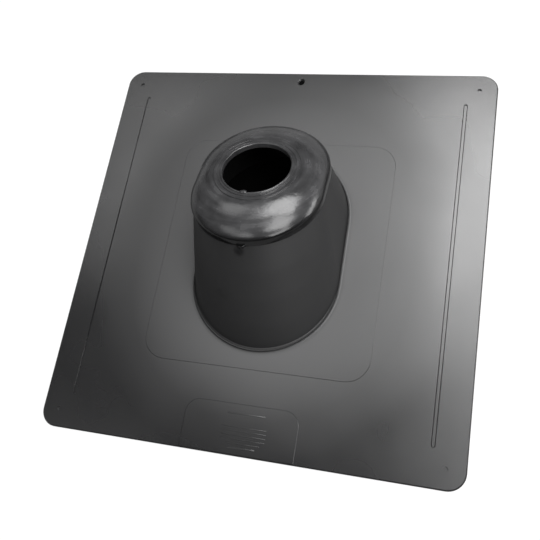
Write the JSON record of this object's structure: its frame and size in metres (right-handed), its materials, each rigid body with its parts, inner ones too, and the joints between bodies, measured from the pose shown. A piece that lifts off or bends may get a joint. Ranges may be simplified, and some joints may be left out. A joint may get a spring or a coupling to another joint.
{
  "type": "pipe flashing boot",
  "caption": "Square plastic roof flashing plate with a hollow tapered body and a flexible, domed collar that seals round a vent pipe.",
  "frame": {"origin": "middle of the plate's flat underside", "axes": "+Z out of the roof, +Y up the slope towards the nail hole, +X across the slope"},
  "size_m": [0.3174, 0.3174, 0.0844],
  "materials": {
    "base_plastic": "satin, moulded black plastic",
    "collar_rubber": "glossy black elastomer with flow marks"
  },
  "bodies": {
    "root": {"flashing_base": "base_plastic", "pipe_collar": "collar_rubber"}
  },
  "joints": []
}
